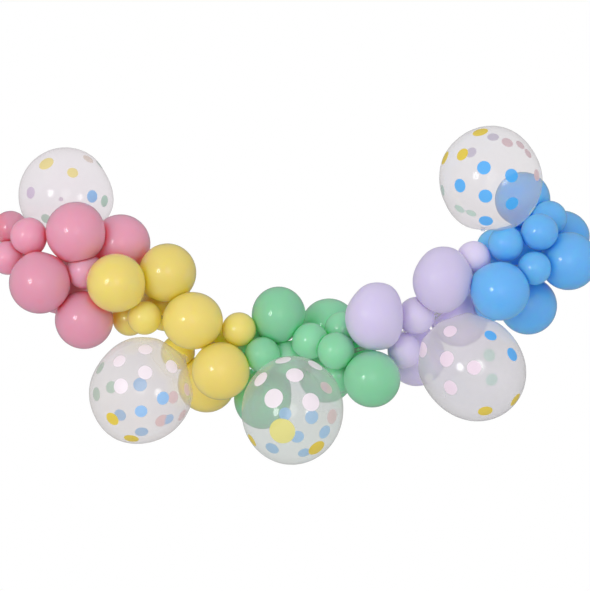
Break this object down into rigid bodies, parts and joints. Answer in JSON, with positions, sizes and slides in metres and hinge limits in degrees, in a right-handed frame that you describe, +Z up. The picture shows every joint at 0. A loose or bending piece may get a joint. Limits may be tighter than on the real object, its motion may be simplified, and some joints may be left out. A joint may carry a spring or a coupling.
{
  "type": "balloon garland",
  "caption": "Pastel balloon garland hung in a smile-shaped curve: pink, yellow, green, lilac and blue latex balloons and larger clear polka-dot balloons clustered round a plastic strip.",
  "frame": {"origin": "where the strip's left flat end is fastened, on its back face", "axes": "+X along the garland from its left fastening to its right one, +Y away from the viewer towards what it hangs on, +Z up"},
  "size_m": [2.0588, 0.5553, 0.9943],
  "materials": {
    "clear_strip": "clear, slightly milky, smooth",
    "pink_latex": "opaque pastel latex, satin",
    "yellow_latex": "opaque pastel latex, satin",
    "green_latex": "opaque pastel latex, satin",
    "lilac_latex": "opaque pastel latex, satin",
    "blue_latex": "opaque pastel latex, satin",
    "clear_latex": "see-through latex, glossy, printed with round pastel dots"
  },
  "bodies": {
    "root": {"strip": "clear_strip", "pink_large_1": "pink_latex", "pink_large_2": "pink_latex", "pink_large_3": "pink_latex", "pink_large_4": "pink_latex", "pink_large_5": "pink_latex", "pink_small_1": "pink_latex", "pink_small_2": "pink_latex", "pink_small_3": "pink_latex", "pink_small_4": "pink_latex", "yellow_large_1": "yellow_latex", "yellow_large_2": "yellow_latex", "yellow_large_3": "yellow_latex", "yellow_large_4": "yellow_latex", "yellow_large_5": "yellow_latex", "yellow_large_6": "yellow_latex", "yellow_small_1": "yellow_latex", "yellow_small_2": "yellow_latex", "yellow_small_3": "yellow_latex", "yellow_small_4": "yellow_latex", "yellow_small_5": "yellow_latex", "green_large_1": "green_latex", "green_large_2": "green_latex", "green_large_3": "green_latex", "green_large_4": "green_latex", "green_large_5": "green_latex", "green_small_1": "green_latex", "green_small_2": "green_latex", "green_small_3": "green_latex", "green_small_4": "green_latex", "green_small_5": "green_latex", "green_small_6": "green_latex", "green_small_7": "green_latex", "green_small_8": "green_latex", "lilac_large_1": "lilac_latex", "lilac_large_2": "lilac_latex", "lilac_large_3": "lilac_latex", "lilac_large_4": "lilac_latex", "lilac_small_1": "lilac_latex", "lilac_small_2": "lilac_latex", "lilac_small_3": "lilac_latex", "blue_large_1": "blue_latex", "blue_large_2": "blue_latex", "blue_large_3": "blue_latex", "blue_large_4": "blue_latex", "blue_large_5": "blue_latex", "blue_large_6": "blue_latex", "blue_small_1": "blue_latex", "blue_small_2": "blue_latex", "blue_small_3": "blue_latex", "blue_small_4": "blue_latex", "blue_small_5": "blue_latex", "blue_small_6": "blue_latex", "clear_dotted_1": "clear_latex", "clear_dotted_2": "clear_latex", "clear_dotted_3": "clear_latex", "clear_dotted_4": "clear_latex", "clear_dotted_5": "clear_latex"}
  },
  "joints": []
}
